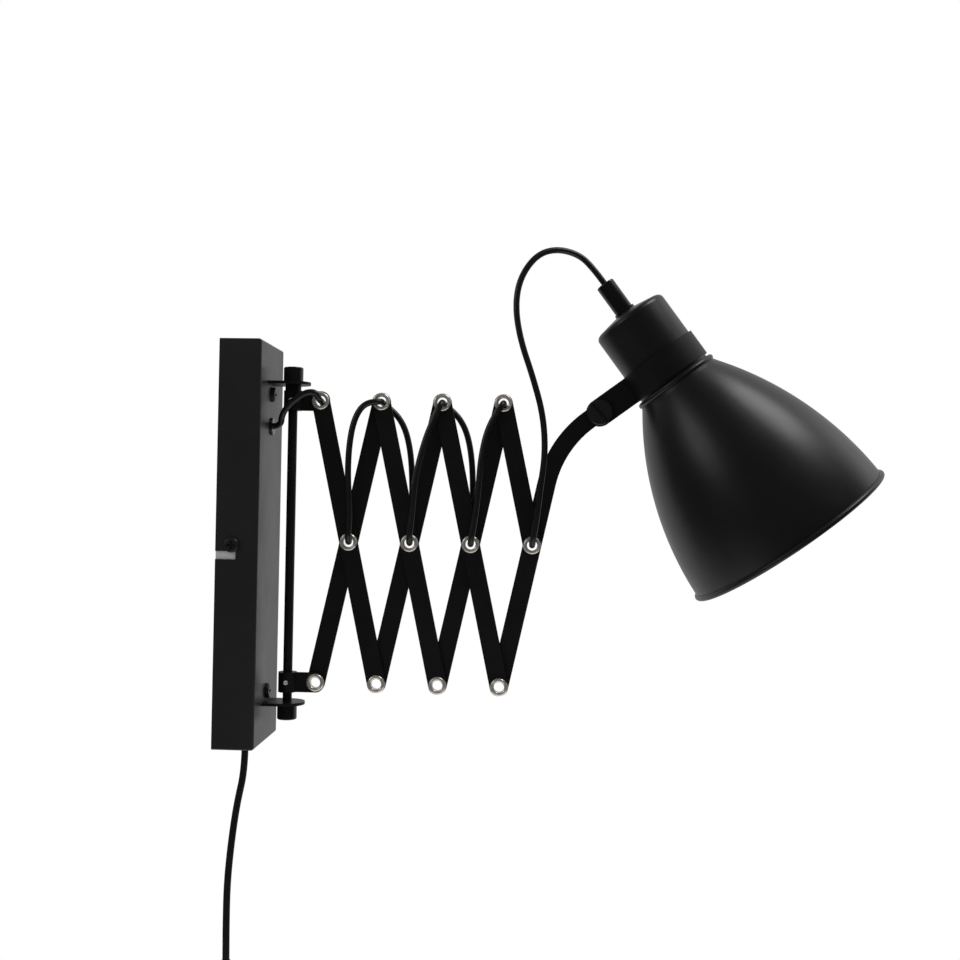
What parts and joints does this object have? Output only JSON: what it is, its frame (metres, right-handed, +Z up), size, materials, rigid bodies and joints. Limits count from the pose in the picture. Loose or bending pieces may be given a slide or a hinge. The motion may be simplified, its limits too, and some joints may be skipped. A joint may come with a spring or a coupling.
{
  "type": "accordion wall lamp",
  "caption": "Wall lamp with a scissor arm that swings and extends from a sheet-metal housing, a tilting bell shade, and a corded plug with an inline switch.",
  "frame": {"origin": "centre of the bracket's back face, on the wall", "axes": "+X out of the wall, +Y along the wall, +Z up"},
  "size_m": [0.4533, 0.1537, 0.6999],
  "materials": {
    "housing_paint": "satin black powder coat",
    "arm_paint": "satin black paint",
    "shade_paint": "satin black paint outside, matt white inside",
    "eyelet_nickel": "bright nickel",
    "zinc": "zinc plated",
    "black_steel": "black screw finish",
    "gloss_black": "glossy black plastic",
    "holder_plastic": "moulded black plastic",
    "cord_jacket": "smooth black jacket",
    "block_plastic": "white nylon",
    "brass": "plain brass",
    "bulb_cap": "plain aluminium",
    "opal_diffuser": "opal"
  },
  "bodies": {
    "wall_unit": {"wall_bracket": "zinc", "housing": "housing_paint", "pan_screws": "black_steel", "ears": "arm_paint", "terminal_block": "block_plastic", "terminal_screws": "brass", "mains_bush": "gloss_black", "arm_bush": "gloss_black", "mains_inner_lead": "cord_jacket", "pivot_rod": "black_steel", "rod_caps": "gloss_black", "spacer": "arm_paint", "cord_to_arm": "cord_jacket", "mains_cord": "cord_jacket", "mains_coil": "cord_jacket", "plug_body": "holder_plastic", "plug_pins": "zinc", "switch_body": "holder_plastic", "coil_tie": "holder_plastic"},
    "swing_sleeve": {"upper_sleeve": "arm_paint", "upper_set_screw": "zinc", "eyelet_top_1": "eyelet_nickel"},
    "slide_sleeve": {"lower_sleeve": "arm_paint", "lower_drag_screw": "zinc", "eyelet_bottom_1": "eyelet_nickel"},
    "rocker": {"switch_rocker": "gloss_black"},
    "head": {"head_clamp": "shade_paint", "pivot_screw": "black_steel", "pivot_nut": "black_steel", "lampholder_cover": "shade_paint", "cord_grip": "gloss_black", "lampholder": "holder_plastic", "socket_shell": "brass", "shade_ring": "holder_plastic", "shade": "shade_paint", "bulb_base": "bulb_cap", "bulb_globe": "opal_diffuser"},
    "link_a1": {"bar_a1": "arm_paint", "eyelets_a1": "eyelet_nickel", "cord_behind_1": "cord_jacket"},
    "link_b1": {"bar_b1": "arm_paint", "eyelet_b1": "eyelet_nickel", "cord_front_1": "cord_jacket"},
    "link_a2": {"bar_a2": "arm_paint", "eyelets_a2": "eyelet_nickel", "cord_behind_2": "cord_jacket"},
    "link_b2": {"bar_b2": "arm_paint", "eyelet_b2": "eyelet_nickel", "cord_front_2": "cord_jacket"},
    "link_a3": {"bar_a3": "arm_paint", "eyelets_a3": "eyelet_nickel", "cord_behind_3": "cord_jacket"},
    "link_b3": {"bar_b3": "arm_paint", "eyelet_b3": "eyelet_nickel", "cord_front_3": "cord_jacket"},
    "link_a4": {"bar_a4": "arm_paint", "eyelets_a4": "eyelet_nickel", "cord_behind_4": "cord_jacket"},
    "link_b4": {"bar_b4": "arm_paint", "cord_to_head": "cord_jacket"}
  },
  "joints": [
    {"name": "swing", "type": "hinge", "parent": "wall_unit", "child": "swing_sleeve", "pos_m": [0.044, 0, 0.1005], "axis": [0, 0, 1], "range_deg": [-80, 80], "deforming": ["cord_to_arm"]},
    {"name": "extend", "type": "hinge", "parent": "swing_sleeve", "child": "link_a1", "pos_m": [0.064, 0, 0.1005], "axis": [0, -1, 0], "range_deg": [-6, 30]},
    {"name": "cross_1", "type": "hinge", "parent": "link_a1", "child": "link_b1", "pos_m": [0.08554, 0, 0.00131], "axis": [0, -1, 0], "range_deg": [-60, 12]},
    {"name": "top_2", "type": "hinge", "parent": "link_b1", "child": "link_a2", "pos_m": [0.10707, 0, 0.1005], "axis": [0, -1, 0], "range_deg": [-12, 60]},
    {"name": "cross_2", "type": "hinge", "parent": "link_a2", "child": "link_b2", "pos_m": [0.12861, 0, 0.00131], "axis": [0, -1, 0], "range_deg": [-60, 12]},
    {"name": "top_3", "type": "hinge", "parent": "link_b2", "child": "link_a3", "pos_m": [0.15014, 0, 0.1005], "axis": [0, -1, 0], "range_deg": [-12, 60]},
    {"name": "cross_3", "type": "hinge", "parent": "link_a3", "child": "link_b3", "pos_m": [0.17168, 0, 0.00131], "axis": [0, -1, 0], "range_deg": [-60, 12]},
    {"name": "top_4", "type": "hinge", "parent": "link_b3", "child": "link_a4", "pos_m": [0.19322, 0, 0.1005], "axis": [0, -1, 0], "range_deg": [-12, 60]},
    {"name": "cross_4", "type": "hinge", "parent": "link_a4", "child": "link_b4", "pos_m": [0.21475, 0, 0.00131], "axis": [0, -1, 0], "range_deg": [-60, 12]},
    {"name": "bottom_1", "type": "hinge", "parent": "link_b1", "child": "slide_sleeve", "pos_m": [0.064, 0, -0.09788], "axis": [0, -1, 0], "range_deg": [-6, 30]},
    {"name": "tilt", "type": "hinge", "parent": "link_b4", "child": "head", "pos_m": [0.26043, 0.00115, 0.09472], "axis": [0, 1, 0], "range_deg": [-60, 40], "deforming": ["cord_to_head"]},
    {"name": "rocker_press", "type": "hinge", "parent": "wall_unit", "child": "rocker", "pos_m": [0.017, -0.022, -0.334], "axis": [0, 1, 0], "range_deg": [-14, 0]}
  ],
  "couplings": [
    {"joint": "cross_1", "follows": "extend", "ratio": -2},
    {"joint": "top_2", "follows": "extend", "ratio": 2},
    {"joint": "cross_2", "follows": "extend", "ratio": -2},
    {"joint": "top_3", "follows": "extend", "ratio": 2},
    {"joint": "cross_3", "follows": "extend", "ratio": -2},
    {"joint": "top_4", "follows": "extend", "ratio": 2},
    {"joint": "cross_4", "follows": "extend", "ratio": -2},
    {"joint": "bottom_1", "follows": "extend", "ratio": 1}
  ]
}
